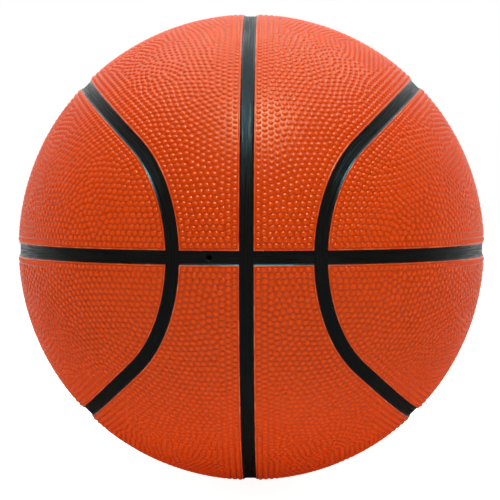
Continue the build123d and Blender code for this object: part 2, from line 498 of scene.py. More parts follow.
def channel_coat(graph, channel):
    """Satin black coat of the channels, with fine marks of the mould along their course."""
    run = graph.node("ShaderNodeUVMap", {"uv_map": "Course"}, {}, "UV")
    drawn = graph.vector_math("MULTIPLY", "Vector", run, COURSE_STRETCH)
    place = graph.place()
    streaks = graph.ease(graph.noise(drawn, 0.7 * MM, 2.0), 0.35, 0.65)
    grain = graph.noise(place, 0.3 * MM, 2.0)
    dust = graph.ease(graph.noise(place, 14 * MM, 4.0), 0.45, 0.8)
    dusty = opaque(channel.coat_color, 1.6, 0.006)
    graph.rubber(
        color=graph.mix(0.6 * dust * streaks, opaque(channel.coat_color), dusty),
        roughness=0.24 + 0.24 * streaks + 0.08 * dust,
        normal=graph.bump(streaks + 0.3 * grain, 0.08 * MM),
        specular=COAT_GLOSS,
        tint=BLUISH,
    )


def channel_edge(graph, channel):
    """Glossier black where the coat runs up the walls of a channel."""
    place = graph.place()
    grain = graph.noise(place, 0.4 * MM, 2.0)
    worn = graph.ease(graph.noise(place, 8 * MM, 3.0), 0.35, 0.7)
    graph.rubber(
        color=opaque(channel.coat_color),
        roughness=0.20 + 0.22 * worn + 0.05 * grain,
        normal=graph.bump(grain, 0.01 * MM),
        specular=0.60,
        tint=CYAN,
    )


def valve_rubber(graph, layers):
    """Matt black rubber with a faint bloom."""
    place = graph.place()
    grain = graph.noise(place, 0.3 * MM, 3.0)
    bloom = graph.ease(graph.noise(place, 2.5 * MM, 3.0), 0.4, 0.8)
    bloomed = opaque(layers.valve_color, 1.6, 0.003)
    graph.rubber(
        color=graph.mix(bloom, opaque(layers.valve_color), bloomed),
        roughness=0.50 + 0.14 * grain,
        normal=graph.bump(grain, 0.03 * MM),
        specular=0.35,
    )


def carcass_rubber(graph, layers):
    """Dull rubber coat with the print of the threads under it."""
    place = graph.place()
    threads = thread_relief(graph, place)
    patches = graph.noise(place, 18 * MM, 4.0)
    worn = opaque(layers.carcass_color, 1.5, 0.01)
    graph.rubber(
        color=graph.mix(graph.ease(patches, 0.35, 0.7), opaque(layers.carcass_color), worn),
        roughness=0.58 + 0.20 * patches,
        normal=graph.bump(0.5 * threads + patches, 0.06 * MM),
        specular=0.4,
    )


def thread_relief(graph, place):
    """Height of threads wound round the ball in several directions, from 0 to 1."""
    height = None
    for axis in THREAD_AXES:
        wander = 2.0 * THREAD_SPACING * graph.noise(place, 30 * MM, 1.0)
        along = graph.dot(place, axis) + wander
        wave = 0.5 + 0.5 * graph.math("SINE", along * (2 * math.pi / THREAD_SPACING))
        height = wave if height is None else graph.math("MAXIMUM", height * 0.92, wave)
    return height


def thread_finish(graph, layers):
    """Pale nylon thread in crossing turns, bedded in darker cement."""
    place = graph.place()
    threads = thread_relief(graph, place)
    cement = opaque(layers.thread_color, 0.35)
    graph.rubber(
        color=graph.mix(graph.ease(threads, 0.25, 0.8), cement, opaque(layers.thread_color)),
        roughness=0.62 - 0.15 * threads,
        normal=graph.bump(threads, 0.15 * MM),
        specular=0.4,
    )


def bladder_rubber(graph, layers):
    """Smooth black butyl with powder on it."""
    place = graph.place()
    powder = graph.ease(graph.noise(place, 25 * MM, 5.0), 0.42, 0.75)
    grain = graph.noise(place, 0.5 * MM, 2.0)
    powdered = opaque(layers.bladder_color, lift=0.03)
    graph.rubber(
        color=graph.mix(powder, opaque(layers.bladder_color), powdered),
        roughness=0.38 + 0.30 * powder,
        normal=graph.bump(grain, 0.02 * MM),
        specular=0.45,
    )


def lengths_of(vectors):
    return np.linalg.norm(vectors, axis=-1)


def unit(vectors):
    """Vectors scaled to length one."""
    return vectors / lengths_of(vectors)[..., None]


def towards(start, goal, angle):
    """The direction that lies at some angle from one direction, towards another."""
    aside = unit(goal - start * np.dot(goal, start))
    return start * math.cos(angle) + aside * math.sin(angle)


def meeting(axis, angle, level):
    """The direction at given angles from an axis and from the top; of the two there are, the front one."""
    lean = np.dot(axis, TOP)
    axis_share = (math.cos(angle) - lean * math.cos(level)) / (1 - lean**2)
    top_share = (math.cos(level) - lean * math.cos(angle)) / (1 - lean**2)
    foot = axis_share * axis + top_share * TOP
    across = np.cross(axis, TOP)
    rise = across * math.sqrt((1 - np.dot(foot, foot)) / np.dot(across, across))
    return max(foot + rise, foot - rise, key=lambda point: np.dot(point, FRONT))


def angle_from(axis, points):
    return np.arccos(np.clip(points @ axis, -1.0, 1.0))


def away_from(axis, points):
    """At each point of the unit sphere, the way along the sphere that leads away from an axis."""
    return unit(points * (points @ axis)[:, None] - axis)


def arc_points(arc, count):
    """Directions from an arc's start up to, but without, its end. An arc is an axis, a start and an end."""
    axis, start, end = arc
    centre = axis * np.dot(axis, start)
    along = start - centre
    side = np.cross(axis, along)
    turn = math.atan2(np.dot(end, side), np.dot(end, along))
    angles = turn * np.arange(count)[:, None] / count
    return centre + along * np.cos(angles) + side * np.sin(angles)


def arc_length(arc):
    """Length of an arc on the unit sphere."""
    steps = np.diff(arc_points(arc, ARC_SAMPLES), axis=0)
    return ARC_SAMPLES / (ARC_SAMPLES - 1) * lengths_of(steps).sum()


def loop_points(arcs, counts):
    """Directions all along a loop of arcs."""
    return np.vstack([arc_points(arc, count) for arc, count in zip(arcs, counts)])


class ChannelLayout:
    """Course of the channels in the upper right quarter of the ball, as directions and angles.

    The other quarters are its mirror images. A shift of the curved channel's line is positive towards
    the meridian, and an inset of a panel's outline is positive into the panel."""

    def __init__(self, channel):
        self.straight = math.asin(channel.width / 2 / BALL_RADIUS)
        self.curved = channel.width / 2 / BALL_RADIUS
        self.tip_bend = math.atan2(
            math.sin(channel.tip_angle) * math.cos(channel.crown_angle),
            1 - math.cos(channel.tip_angle) * math.cos(channel.crown_angle),
        )
        self.tip = towards(FRONT, RIGHT, channel.tip_angle + self.tip_bend)
        self.flank = towards(TOP, RIGHT, channel.crown_angle - math.pi / 2)
        self.tip_side = np.cross(self.tip, self.flank)

    def tip_end(self, shift):
        """Where the bend round the front tip meets the flank, a great circle over the crown."""
        return towards(self.tip, self.flank, self.tip_bend + shift)

    def whole_curve(self, shift):
        """Arcs of the right curved channel all the way round, from its back tip."""
        end = self.tip_end(shift)
        low_end = end * DOWNWARDS
        return [
            (self.tip * BACKWARDS, end * BACKWARDS, low_end * BACKWARDS),
            (self.flank * DOWNWARDS, low_end * BACKWARDS, low_end),
            (self.tip, low_end, end),
            (self.flank, end, end * BACKWARDS),
        ]

    def side_outline(self, inset):
        """Arcs round the side panel, anticlockwise from its front corner."""
        shift = -self.curved - inset
        level = math.pi / 2 - self.straight - inset
        corner = meeting(self.tip, self.tip_bend + shift, level)
        end = self.tip_end(shift)
        return [
            (TOP, corner, corner * BACKWARDS),
            (self.tip * BACKWARDS, corner * BACKWARDS, end * BACKWARDS),
            (self.flank, end * BACKWARDS, end),
            (self.tip, end, corner),
        ]

    def centre_outline(self, inset):
        """Arcs round the centre panel, anticlockwise from its corner at the front crossing."""
        shift = self.curved + inset
        level = math.pi / 2 - self.straight - inset
        crossing = meeting(RIGHT, level, level)
        corner = meeting(self.tip, self.tip_bend + shift, level)
        end = self.tip_end(shift)
        return [
            (TOP, crossing, corner),
            (self.tip, corner, end),
            (self.flank, end, end * BACKWARDS),
            (self.tip * BACKWARDS, end * BACKWARDS, corner * BACKWARDS),
            (TOP, corner * BACKWARDS, crossing * BACKWARDS),
            (RIGHT, crossing * BACKWARDS, crossing),
        ]

    def outline(self, kind, inset):
        if kind == "side_panel":
            return self.side_outline(inset)
        return self.centre_outline(inset)

    def curve_offset(self, points):
        """Angles of points outside the curved channel's middle line, and the way out at each."""
        fold = np.ones_like(points)
        fold[:, 1] = np.where(points[:, 1] > 0, -1.0, 1.0)
        folded = points * fold
        by_tip = folded @ self.tip_side > 0
        gaps = np.where(
            by_tip,
            angle_from(self.tip, folded) - self.tip_bend,
            math.pi / 2 - angle_from(self.flank, folded),
        )
        ways = np.where(
            by_tip[:, None], away_from(self.tip, folded), -away_from(self.flank, folded)
        )
        return gaps, ways * fold

    def walls(self, kind, points):
        """Room from each point to each wall of a panel, as an angle, and the way from the wall inwards."""
        gaps, ways = self.curve_offset(points)
        equator = (np.arcsin(points[:, 2]) - self.straight, -away_from(TOP, points))
        if kind == "side_panel":
            return [equator, (-gaps - self.curved, -ways)]
        meridian = (np.arcsin(points[:, 0]) - self.straight, -away_from(RIGHT, points))
        return [equator, meridian, (gaps - self.curved, ways)]


def even_points(spacing):
    """Directions spread evenly over the whole ball, on a spiral."""
    count = int(4 * math.pi / (math.sqrt(3) / 2 * spacing**2))
    steps = np.arange(count) + 0.5
    height = 1 - 2 * steps / count
    azimuth = steps * math.pi * (3 - math.sqrt(5))
    ring = np.sqrt(1 - height**2)
    return np.column_stack([ring * np.cos(azimuth), ring * np.sin(azimuth), height])


def ring_points(axis, angle, spacing):
    """Directions all round an axis, at an angle from it, set out from the side that faces the front."""
    count = max(1, round(2 * math.pi * math.sin(angle) / spacing))
    forward = unit(FRONT - axis * np.dot(axis, FRONT))
    side = np.cross(axis, forward)
    turn = 2 * math.pi * np.arange(count)[:, None] / count
    return axis * math.cos(angle) + math.sin(angle) * (forward * np.cos(turn) + side * np.sin(turn))


def nearest_wall(layout, kind, points):
    """Room from each point to the wall that its row follows, and the way from that wall inwards.

    That is the nearest wall, but few rows follow the equator: farther from it they follow the others."""
    walls = layout.walls(kind, points)
    gaps = np.array([gap for gap, way in walls])
    ways = np.array([way for gap, way in walls])
    pull = gaps.copy()
    pull[0] += EQUATOR_YIELD * np.clip(gaps[0] - EQUATOR_ROWS / BALL_RADIUS, 0, None)
    nearest = pull.argmin(axis=0)
    each = np.arange(len(points))
    return gaps[nearest, each], ways[nearest, each]


def row_points(layout, kind, inset, spacing):
    """Directions along the line that keeps a given distance from the panel's nearest channel."""
    shift = inset + layout.curved
    if kind == "side_panel":
        shift = -shift
    level = math.pi / 2 - layout.straight - inset
    rings = [
        (RIGHT, level),
        (TOP, level),
        (layout.tip, layout.tip_bend + shift),
        (layout.flank, math.pi / 2 - shift),
    ]
    points = np.vstack(
        [ring_points(*ring, spacing) for ring in rings if spacing < ring[1] < math.pi - spacing]
    )
    points = np.vstack([points, points * BACKWARDS])
    room = nearest_wall(layout, kind, points)[0]
    return points[np.abs(room - inset) < ROW_TOLERANCE * spacing]


def take_apart(kept, candidates, distance):
    """Adds candidates, in order, that keep a distance from all that were taken before."""
    closest = math.cos(distance)
    taken = np.zeros((len(kept) + len(candidates), 3))
    taken[: len(kept)] = kept
    count = len(kept)
    for candidate in candidates:
        if count == 0 or (taken[:count] @ candidate).max() < closest:
            taken[count] = candidate
            count += 1
    return taken[:count]


def settle_pebbles(layout, kind, cover, seed):
    """Directions of a panel's pebbles: rows along the channels that meet in the panel's middle.

    Where rows meet, the pebbles push each other apart, and more pebbles fill the holes that are left."""
    random = np.random.default_rng(seed)
    spacing = cover.pitch / BALL_RADIUS
    row_gap = cover.row_gap / BALL_RADIUS
    margin = cover.first_row / BALL_RADIUS
    points = np.zeros((0, 3))
    for row in range(CHANNEL_ROWS):
        line = row_points(layout, kind, margin + row * row_gap, spacing)
        points = take_apart(points, line, ROW_APART * spacing)
    spare = even_points(SPARE_GAP * spacing)
    spare = spare[nearest_wall(layout, kind, spare)[0] > margin]
    points = take_apart(points, random.permutation(spare), FILL_APART * spacing)
    rounds = SETTLE_STEPS
    for step in range(rounds):
        if step % LOOK_STEPS == 0:
            nearby = np.triu(points @ points.T > math.cos(LOOK_REACH * spacing), 1)
            first, second = np.nonzero(nearby)
        apart = points[first] - points[second]
        distance = lengths_of(apart)
        push = apart * (PUSH * np.clip(PUSH_REACH * spacing / distance - 1, 0, 1))[:, None]
        room, way = nearest_wall(layout, kind, points)
        row = np.round((room - margin) / row_gap)
        home = HOME_PULL * np.exp(-row / HOME_ROWS) * (margin + row * row_gap - room)
        heat = HEAT * spacing * max(0.0, 1 - step / (HEAT_TIME * rounds))
        move = way * home[:, None] + heat * random.normal(size=points.shape)
        for axis in range(3):
            move[:, axis] += np.bincount(first, push[:, axis], len(points))
            move[:, axis] -= np.bincount(second, push[:, axis], len(points))
        points = unit(points + move)
        for gap, way in layout.walls(kind, points):
            points = unit(points + way * np.clip(margin - gap, 0, None)[:, None])
    return take_apart(points, spare, HOLE_APART * spacing)


def flat_map(points):
    """Flat coordinates of directions, true to angles, about their middle."""
    middle = unit(points.mean(axis=0))
    across = unit(np.cross(MAP_UP, middle))
    upwards = np.cross(middle, across)

    def project(directions):
        share = 2 / (1 + directions @ middle)
        return np.column_stack([directions @ across * share, directions @ upwards * share])

    return project


def triangles_between(corners, loop_start, project):
    """Triangles between corners, inside the loop of corners that begins at a number."""
    places = [Vector(place) for place in project(corners)]
    loop = list(range(loop_start, len(corners)))
    made = delaunay_2d_cdt(places, [], [loop], INSIDE_ONLY, SAME_PLACE)
    if len(made[0]) != len(places):
        raise ValueError("two crowns of a panel share one place")
    triangles = np.array(made[2])
    flat = np.array(made[0])
    first, second, third = (flat[triangles[:, corner]] for corner in range(3))
    ahead = second - first
    aside = third - first
    clockwise = ahead[:, 0] * aside[:, 1] - ahead[:, 1] * aside[:, 0] < 0
    triangles[clockwise] = triangles[clockwise][:, ::-1]
    return triangles


def dome_reach(girth, length, reach):
    """How far domes reach on their way to a valley: a share of a blend of the mean way and this way.

    The reach holds that share, the blend's two parts and the largest share of this way."""
    share, mean_part, own_part, most = reach
    return np.minimum(share * (mean_part * girth + own_part * length), most * length)


class PebbledSkin:
    """Points and faces of the pebbles and valleys of one panel, inside its lip.

    Every other point of the lip is a post, a corner of the triangles between the crowns, and the point
    after it lies half way to the next post. Each triangle gives every pebble at its corners a sector:
    two rings of the dome and the slope down into the valley."""

    def __init__(self, pebbles, lip, lip_depth, cover, project, random):
        self.pebbles = pebbles
        self.count = len(pebbles)
        self.lip = lip
        self.lip_depth = lip_depth
        self.relief = cover.relief
        self.pitch = cover.pitch / BALL_RADIUS
        self.directions = []
        self.depths = []
        self.faces = []
        self.feet = []
        self.size = 0
        self.corners = np.vstack([pebbles, lip[::2]])
        self.triangles = triangles_between(self.corners, self.count, project)
        self.crown_depths = self.relief * random.uniform(0, CROWN_SPREAD, self.count)
        self.add(pebbles, self.crown_depths)
        self.lip_start = self.add(lip, np.full(len(lip), lip_depth))
        self.find_edges()
        self.add_valleys()
        self.add_domes()

    def add(self, directions, depths):
        """Adds points and gives the number of the first."""
        start = self.size
        self.directions.append(directions)
        self.depths.append(depths)
        self.size += len(directions)
        return start

    def find_edges(self):
        """The triangles' edges, and which of them run along the lip."""
        posts = len(self.corners) - self.count
        spans = np.sort(self.triangles[:, [0, 1, 1, 2, 2, 0]].reshape(-1, 2), axis=1)
        self.edges, edge_of = np.unique(spans, axis=0, return_inverse=True)
        self.edge_of = edge_of.reshape(-1, 3)
        self.at_post = self.edges >= self.count
        step = self.edges[:, 1] - self.edges[:, 0]
        self.on_lip = self.at_post.all(axis=1) & ((step == 1) | (step == posts - 1))
        after = np.where(step == 1, self.edges[:, 0], self.edges[:, 1]) - self.count
        self.lip_points = self.lip_start + 2 * after + 1

    def add_valleys(self):
        """The lowest points: between two crowns, and between the three of a triangle."""
        ends = self.corners[self.edges]
        to_lip = self.at_post[:, 1] & ~self.at_post[:, 0]
        share = np.where(to_lip, LIP_VALLEY, 0.5)[:, None]
        self.middles = unit(ends[:, 0] + (ends[:, 1] - ends[:, 0]) * share)
        length = lengths_of(ends[:, 1] - ends[:, 0]) / self.pitch
        depth = self.relief * np.clip(VALLEY_DEPTH + VALLEY_GAIN * (length - 1), VALLEY_LEAST, 1.0)
        depth = np.where(self.at_post[:, 1], 0.5 * (self.relief + self.lip_depth), depth)
        self.middle_depths = np.where(self.on_lip, self.lip_depth, depth)
        inside = ~self.on_lip
        start = self.add(self.middles[inside], self.middle_depths[inside])
        self.middle_points = np.where(inside, start + np.cumsum(inside) - 1, self.lip_points)
        self.middles[self.on_lip] = self.lip[(self.lip_points - self.lip_start)[self.on_lip]]
        self.hubs = unit(self.middles[self.edge_of].mean(axis=1))
        self.hub_depths = self.middle_depths[self.edge_of].max(axis=1)
        self.hub_start = self.add(self.hubs, self.hub_depths)

    def add_domes(self):
        """The rings of every dome, then all faces."""
        owned = ~self.at_post.ravel()
        owner = self.edges.ravel()[owned]
        edge = np.repeat(np.arange(len(self.edges)), 2)[owned]
        reach = self.middles[edge] - self.pebbles[owner]
        length = lengths_of(reach)
        girth = np.bincount(owner, length, self.count) / np.bincount(owner, minlength=self.count)
        way = reach / length[:, None]
        crown = self.crown_depths[owner]
        inner = self.pebbles[owner] + way * (INNER_RING * girth[owner])[:, None]
        outer = self.pebbles[owner] + way * dome_reach(girth[owner], length, FOOT_REACH)[:, None]
        inner_start = self.add(unit(inner), crown + INNER_DEPTH * self.relief)
        outer_start = self.add(unit(outer), self.foot_depths(owner, self.middle_depths[edge]))
        self.feet.append(np.arange(outer_start, self.size))
        place = np.cumsum(owned) - 1
        for corner in range(3):
            here = self.triangles[:, corner]
            at_pebble = here < self.count
            ahead = self.edge_of[:, corner]
            behind = self.edge_of[:, corner - 1]
            post = ~at_pebble
            self.faces.append(
                np.column_stack(
                    [
                        self.lip_start + 2 * (here[post] - self.count),
                        self.middle_points[ahead[post]],
                        self.hub_start + np.flatnonzero(post),
                        self.middle_points[behind[post]],
                    ]
                )
            )
            here = here[at_pebble]
            ahead = ahead[at_pebble]
            behind = behind[at_pebble]
            hub = np.flatnonzero(at_pebble)
            ahead_place = place[2 * ahead + (self.edges[ahead, 1] == here)]
            behind_place = place[2 * behind + (self.edges[behind, 1] == here)]
            spoke = self.add_spokes(here, hub, girth)
            inner_ahead = inner_start + ahead_place
            inner_behind = inner_start + behind_place
            outer_ahead = outer_start + ahead_place
            outer_behind = outer_start + behind_place
            hub = self.hub_start + hub
            self.faces += [
                np.column_stack([here, inner_ahead, inner_behind]),
                np.column_stack([inner_ahead, outer_ahead, spoke]),
                np.column_stack([inner_ahead, spoke, inner_behind]),
                np.column_stack([inner_behind, spoke, outer_behind]),
                np.column_stack([outer_ahead, self.middle_points[ahead], hub, spoke]),
                np.column_stack([spoke, hub, self.middle_points[behind], outer_behind]),
            ]

    def add_spokes(self, pebble, hub, girth):
        """Points of the domes' outer ring that face the middles of the triangles."""
        reach = self.hubs[hub] - self.pebbles[pebble]
        length = lengths_of(reach)
        wide = dome_reach(girth[pebble], length, SPOKE_REACH)
        spokes = self.pebbles[pebble] + reach * (wide / length)[:, None]
        start = self.add(unit(spokes), self.foot_depths(pebble, self.hub_depths[hub]))
        self.feet.append(np.arange(start, self.size))
        return start + np.arange(len(pebble))

    def foot_depths(self, pebble, valley_depths):
        """Depths of domes' feet, above the valleys beside them."""
        depths = self.crown_depths[pebble] + FOOT_DEPTH * self.relief
        return np.minimum(depths, FOOT_LIMIT * valley_depths)

    def underside(self, loop_start):
        """Faces of the panel's underside, with its points numbered from the given places."""
        faces = {}
        for triangle, edges in zip(self.triangles, self.edge_of):
            polygon = []
            for corner in range(3):
                point = triangle[corner]
                post = point - self.count
                polygon.append(self.size + point if post < 0 else loop_start + 2 * post)
                edge = edges[corner]
                if self.on_lip[edge]:
                    polygon.append(loop_start + self.lip_points[edge] - self.lip_start)
            faces.setdefault(len(polygon), []).append(polygon[::-1])
        return [np.array(group) for group in faces.values()]


def loop_band(inner, outer, count):
    """Faces between two loops of points, numbered from their starts; the outer lies to the right."""
    here = np.arange(count)
    ahead = (here + 1) % count
    return np.column_stack([inner + here, outer + here, outer + ahead, inner + ahead])


def fill_mesh(name, points, patches):
    """A mesh from points and patches: arrays of like faces, each with a material number."""
    mesh = bpy.data.meshes.new(name)
    corners = np.concatenate([faces.ravel() for faces, material in patches])
    sizes = np.concatenate([np.full(len(faces), faces.shape[1]) for faces, material in patches])
    finishes = np.concatenate([np.full(len(faces), material) for faces, material in patches])
    mesh.vertices.add(len(points))
    mesh.vertices.foreach_set("co", points.astype(np.float32).ravel())
    mesh.loops.add(len(corners))
    mesh.loops.foreach_set("vertex_index", corners.astype(np.int32))
    mesh.polygons.add(len(sizes))
    mesh.polygons.foreach_set("loop_start", (np.cumsum(sizes) - sizes).astype(np.int32))
    mesh.polygons.foreach_set("material_index", finishes.astype(np.int32))
    mesh.update(calc_edges=True)
    mesh.shade_smooth()
    return mesh


def pebbled_panel(name, layout, kind, side, level, cover, seed):
    """The closed mesh of one panel: pebbles, rim, painted wall and underside."""
    pebbles = settle_pebbles(layout, kind, cover, seed)
    lip_arcs = layout.outline(kind, RIM_SECTION[0][0] / BALL_RADIUS)
    post_gap = POST_GAP / BALL_RADIUS
    counts = [2 * max(2, round(arc_length(arc) / post_gap)) for arc in lip_arcs]
    loop_size = sum(counts)
    lip = loop_points(lip_arcs, counts)
    project = flat_map(pebbles)
    skin = PebbledSkin(
        pebbles, lip, RIM_SECTION[0][1], cover, project, np.random.default_rng(seed)
    )
    underside_depth = BALL_RADIUS - CARCASS_RADIUS - UNDERSIDE_PLAY
    directions = [*skin.directions, pebbles]
    depths = [*skin.depths, np.full(len(pebbles), underside_depth)]
    patches = [(faces, COVER) for faces in skin.faces]
    section = [*RIM_SECTION[1:], (0.0, underside_depth)]
    inner = skin.lip_start
    outer = skin.size + len(pebbles)
    for step, (inset, depth) in enumerate(section, 1):
        loop = loop_points(layout.outline(kind, inset / BALL_RADIUS), counts)
        directions.append(loop)
        depths.append(np.full(loop_size, depth))
        material = WALL if step > PAINTED_FROM else RIM if step > HIGHLIGHT_RIM_FROM else COVER
        patches.append((loop_band(inner, outer, loop_size), material))
        inner = outer
        outer += loop_size
    top_patches = len(patches)
    patches += [(faces, WALL) for faces in skin.underside(inner)]
    directions = np.vstack(directions)
    flat = project(directions)
    mirror = np.array([side, 1.0, level])
    points = directions * mirror * (BALL_RADIUS - np.concatenate(depths))[:, None]
    if side * level < 0:
        patches = [(faces[:, ::-1], material) for faces, material in patches]
    mesh = fill_mesh(name, points, patches)
    lay_flat(mesh, flat, sum(len(faces) for faces, material in patches[:top_patches]))
    mesh.set_sharp_from_angle(angle=PANEL_CREASE)
    crease(mesh, np.concatenate(skin.feet))
    return mesh


def crease(mesh, points):
    """Marks the edges between the given points as sharp."""
    chosen = np.zeros(len(mesh.vertices), bool)
    chosen[points] = True
    ends = np.empty(2 * len(mesh.edges), np.int32)
    mesh.edges.foreach_get("vertices", ends)
    sharp = np.empty(len(mesh.edges), bool)
    mesh.edges.foreach_get("use_edge_sharp", sharp)
    mesh.edges.foreach_set("use_edge_sharp", sharp | chosen[ends.reshape(-1, 2)].all(axis=1))


def lay_flat(mesh, flat, top_faces):
    """UV map of a panel: its outside fills the square, and its underside takes a small corner."""
    low = flat.min(axis=0)
    share = (flat - low) / (flat.max(axis=0) - low).max()
    corners = np.empty(len(mesh.loops), np.int32)
    mesh.loops.foreach_get("vertex_index", corners)
    starts = np.empty(len(mesh.polygons), np.int32)
    mesh.polygons.foreach_get("loop_start", starts)
    places = OUTSIDE_SPAN * share[corners]
    first_under = starts[top_faces]
    places[first_under:] = UNDERSIDE_START + UNDERSIDE_SPAN * share[corners[first_under:]]
    layer = mesh.uv_layers.new(name="OFBake")
    layer.uv.foreach_set("vector", places.astype(np.float32).ravel())


def mesh_from(builder, name):
    """The mesh that a builder holds; the builder ends with it."""
    mesh = bpy.data.meshes.new(name)
    builder.to_mesh(mesh)
    builder.free()
    return mesh


def add_object(name, data):
    """Puts a mesh, lamp or camera in the scene."""
    made = bpy.data.objects.new(name, data)
    bpy.context.collection.objects.link(made)
    return made


def strip_mesh(name, rows, closed, edge_shares):
    """The closed mesh of a channel strip.

    The rows run along the strip, one for each step of its section from edge to edge, and edge_shares
    says how far the section's edges are drawn up at each point of a row."""
    across, along = rows.shape[:2]
    rises = np.array([rise for distance, rise in STRIP_SECTION])
    rises = np.concatenate([rises, [0.0], rises[::-1]])
    radii = FLOOR_RADIUS - FLOOR_DROP + rises[:, None] * edge_shares
    below = CARCASS_RADIUS + UNDERSIDE_PLAY
    builder = bmesh.new()
    top = [
        [builder.verts.new(point * radius) for point, radius in zip(row, row_radii)]
        for row, row_radii in zip(rows, radii)
    ]
    bottom = [[builder.verts.new(point * below) for point in row] for row in (rows[0], rows[-1])]
    course = builder.loops.layers.uv.new("Course")
    steps = lengths_of(np.diff(rows[across // 2], axis=0)) * BALL_RADIUS
    run = np.concatenate([[0.0], np.cumsum(steps)])
    run = np.append(run, run[-1] + steps.mean())
    spread = lengths_of(rows[:, 0] - rows[0, 0]) * BALL_RADIUS
    columns = along if closed else along - 1
    for column in range(columns):
        following = (column + 1) % along
        for row in range(across - 1):
            face = builder.faces.new(
                [top[row][column], top[row][following], top[row + 1][following], top[row + 1][column]]
            )
            places = (
                (run[column], spread[row]),
                (run[column + 1], spread[row]),
                (run[column + 1], spread[row + 1]),
                (run[column], spread[row + 1]),
            )
            face.material_index = int(row < EDGE_STEPS or row >= across - 1 - EDGE_STEPS)
            for loop, place in zip(face.loops, places):
                loop[course].uv = place
        for edge, foot in ((top[0], bottom[0]), (top[-1], bottom[1]), bottom):
            builder.faces.new([edge[column], edge[following], foot[following], foot[column]])
    if not closed:
        for column in (0, along - 1):
            section = [top[row][column] for row in range(across)]
            builder.faces.new([*section, bottom[1][column], bottom[0][column]])
    bmesh.ops.recalc_face_normals(builder, faces=builder.faces)
    mesh = mesh_from(builder, name)
    mesh.shade_smooth()
    mesh.set_sharp_from_angle(angle=STRIP_CREASE)
    return mesh


def section_shifts(half):
    """Angles across a strip, from one edge to the other, at which its section is set out."""
    reach = half - STRIP_PLAY / BALL_RADIUS
    steps = [distance / BALL_RADIUS - reach for distance, rise in STRIP_SECTION]
    return [*steps, 0.0, *(-step for step in reversed(steps))]


def clear_of_crossings(rows, layout):
    """How far a strip's edges are drawn up: fully beside a panel, not at all where the equator joins."""
    height = np.abs(np.arcsin(rows[:, :, 2])) - layout.straight
    share = np.clip(height * BALL_RADIUS / EDGE_RUN_OUT, 0, 1)
    return share * share * (3 - 2 * share)


def meridian_rows(layout):
    """Rows of the meridian strip, from the back over the top and round."""
    rows = []
    for shift in section_shifts(layout.straight):
        angles = math.pi / 2 + 2 * math.pi * np.arange(MERIDIAN_STEPS) / MERIDIAN_STEPS
        aside = np.full(MERIDIAN_STEPS, math.sin(shift))
        ring = math.cos(shift)
        rows.append(np.column_stack([aside, ring * np.sin(angles), ring * np.cos(angles)]))
    return np.array(rows)


def curved_rows(layout):
    """Rows of the right curved strip, from its back tip round."""
    lengths = [arc_length(arc) * BALL_RADIUS for arc in layout.whole_curve(0)]
    counts = [max(CURVE_LEAST, round(length / CURVE_STEP)) for length in lengths]
    shifts = section_shifts(layout.curved)
    return np.array([loop_points(layout.whole_curve(shift), counts) for shift in shifts])


def equator_rows(layout, stretch):
    """Rows of a length of the right equator strip: in front of, beside or behind the curved channel."""
    play = STRIP_PLAY / BALL_RADIUS
    rows = []
    for shift in section_shifts(layout.straight):
        level = math.pi / 2 - shift
        if stretch == "side":
            start = meeting(layout.tip, layout.tip_bend - layout.curved - play, level)
            end = start * BACKWARDS
        else:
            start = meeting(RIGHT, math.pi / 2 - layout.straight - play, level)
            end = meeting(layout.tip, layout.tip_bend + layout.curved + play, level)
        arc = (TOP, start, end)
        rows.append(np.vstack([arc_points(arc, EQUATOR_STEPS[stretch]), end]))
    made = np.array(rows)
    return made * BACKWARDS if stretch == "back" else made


def pierce(piece, axis, radius):
    """Cuts a round hole through a piece, along an axis from the ball's centre."""
    builder = bmesh.new()
    bmesh.ops.create_cone(
        builder,
        cap_ends=True,
        segments=DRILL_SIDES,
        radius1=radius,
        radius2=radius,
        depth=DRILL_LENGTH,
    )
    turn = Vector(axis).to_track_quat("Z", "Y").to_matrix().to_4x4()
    turn.translation = Vector(axis) * FLOOR_RADIUS
    builder.transform(turn)
    drill = add_object("valve_drill", mesh_from(builder, "valve_drill"))
    cut = piece.modifiers.new("Valve hole", "BOOLEAN")
    cut.object = drill
    cut.operation = "DIFFERENCE"
    cut.solver = "EXACT"
    solid = piece.evaluated_get(bpy.context.evaluated_depsgraph_get())
    pierced = bpy.data.meshes.new_from_object(solid)
    piece.modifiers.clear()
    piece.data = pierced
    bpy.data.objects.remove(drill)
    pierced.set_sharp_from_angle(angle=STRIP_CREASE)


def add_piece(name, mesh, materials, node):
    """Puts a mesh in the scene in place of a solid of the frame."""
    for material in materials:
        mesh.materials.append(material)
    piece = add_object(name, mesh)
    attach(piece, "root")
    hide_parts(node)
    return piece


def coat_node(name, material):
    """Gives a solid of the frame its finish."""
    mesh = NODES[name].data
    mesh.materials.clear()
    mesh.materials.append(material)


class BASKETBALL_OT_pebbled_panels(bpy.types.Operator):
    """Mould the eight pebbled panels"""

    bl_idname = "basketball.pebbled_panels"
    bl_label = "Pebbled Panels"

    def execute(self, context):
        cover = context.scene.basketball_cover
        channel = context.scene.basketball_channel
        layout = ChannelLayout(channel)
        materials = [
            finish("Pebbled cover rubber", pebbled_cover, cover),
            finish("Painted panel wall", painted_wall, cover, channel),
            finish("Panel rim with painted highlight", rim_highlight_finish, cover),
        ]
        seed = 0
        for kind in ("centre_panel", "side_panel"):
            for level_name, level in LEVELS.items():
                for side_name, side in SIDES.items():
                    seed += 1
                    node = f"{kind}_{level_name}_{side_name}"
                    name = f"pebbled_{node}"
                    mesh = pebbled_panel(name, layout, kind, side, level, cover, seed)
                    add_piece(name, mesh, materials, node)
        return {"FINISHED"}


